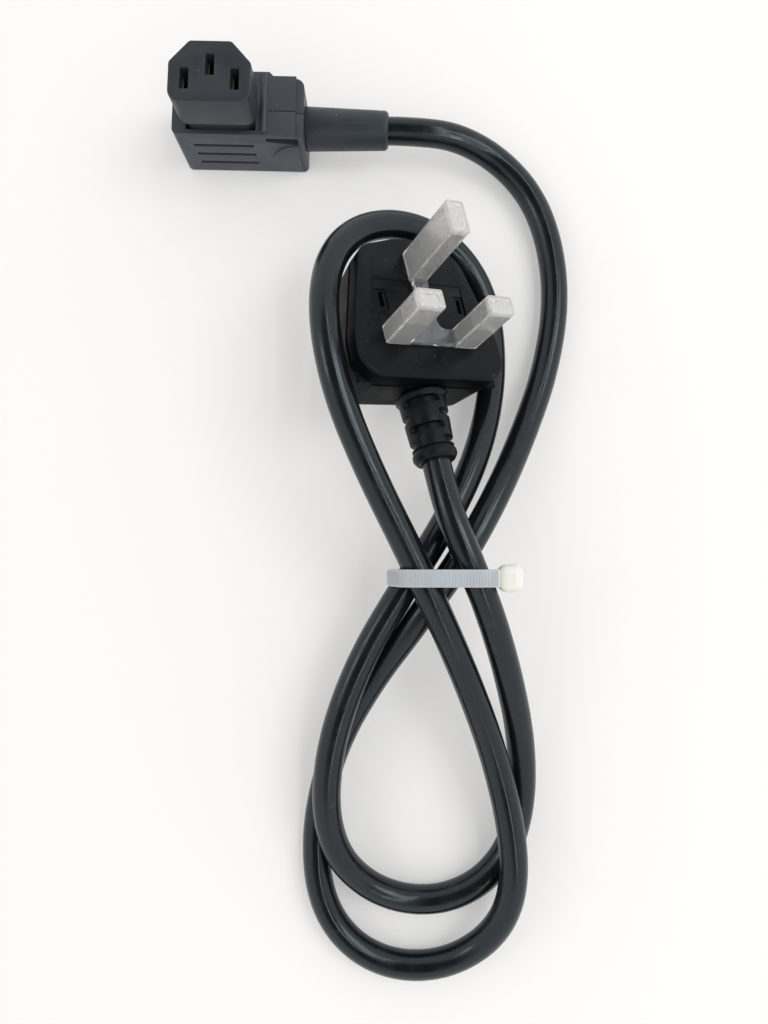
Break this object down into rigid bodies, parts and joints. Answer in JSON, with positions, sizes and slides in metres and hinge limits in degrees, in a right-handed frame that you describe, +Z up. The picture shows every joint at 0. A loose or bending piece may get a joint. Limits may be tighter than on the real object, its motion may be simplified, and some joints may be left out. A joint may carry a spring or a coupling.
{
  "type": "uk three pin plug",
  "caption": "A black moulded UK three pin plug in its clear pin cover, with its lead tied in a figure-of-eight hank and a right-angled appliance connector on the far end.",
  "frame": {"origin": "on the table, under the middle of the box that the plug, its boot and its pin cover fill", "axes": "+Z up from the table, +Y away from the hank and towards the earth pin's end of the plug, +X to the right of the picture"},
  "size_m": [0.1204, 0.2684, 0.054],
  "materials": {
    "plug_moulding": "black moulded housing, fine satin grain",
    "plug_face": "black hard plate, semi-gloss",
    "pin_metal": "nickel plated brass pins",
    "sleeve_plastic": "black insulating sleeve on the line pins",
    "fuse_ceramic": "off-white glazed ceramic",
    "fuse_metal": "plated fuse caps",
    "contact_brass": "stamped brass contacts and crimps",
    "core_blue": "blue core insulation",
    "core_brown": "brown core insulation",
    "core_green": "green and yellow core insulation",
    "boot_plastic": "black flexible strain relief",
    "lead_sheath": "glossy black lead sheath",
    "clear_cover": "clear, slightly frosted plastic pin cover",
    "connector_plastic": "dark grey-black satin moulding",
    "tie_nylon": "natural white nylon tie"
  },
  "bodies": {
    "plug_and_lead": {"plug_housing": "plug_moulding", "pin_plate": "plug_face", "live_pin": "pin_metal", "live_pin_sleeve": "sleeve_plastic", "neutral_pin": "pin_metal", "neutral_pin_sleeve": "sleeve_plastic", "earth_pin": "pin_metal", "fuse_tube": "fuse_ceramic", "fuse_cap_line": "fuse_metal", "fuse_cap_load": "fuse_metal", "fuse_carrier": "plug_face", "line_clip": "contact_brass", "load_clip": "contact_brass", "neutral_crimp": "contact_brass", "earth_crimp": "contact_brass", "live_crimp": "contact_brass", "neutral_wire": "core_blue", "live_wire": "core_brown", "earth_wire": "core_green", "cable_boot": "boot_plastic", "cord_end_in_plug": "lead_sheath", "connector_body": "connector_plastic", "connector_nose": "connector_plastic", "live_contact": "contact_brass", "live_contact_crimp": "contact_brass", "earth_contact": "contact_brass", "earth_contact_crimp": "contact_brass", "neutral_contact": "contact_brass", "neutral_contact_crimp": "contact_brass", "connector_neutral_wire": "core_blue", "connector_earth_wire": "core_green", "connector_live_wire": "core_brown", "connector_relief": "connector_plastic", "cord_end_in_connector": "lead_sheath", "cord": "lead_sheath", "cable_tie": "tie_nylon"},
    "cover": {"pin_cover": "clear_cover"}
  },
  "joints": [
    {"name": "cover_slide", "type": "slide", "parent": "plug_and_lead", "child": "cover", "axis": [0.4604, 0.2592, 0.849], "range_m": [0, 0.026]}
  ]
}
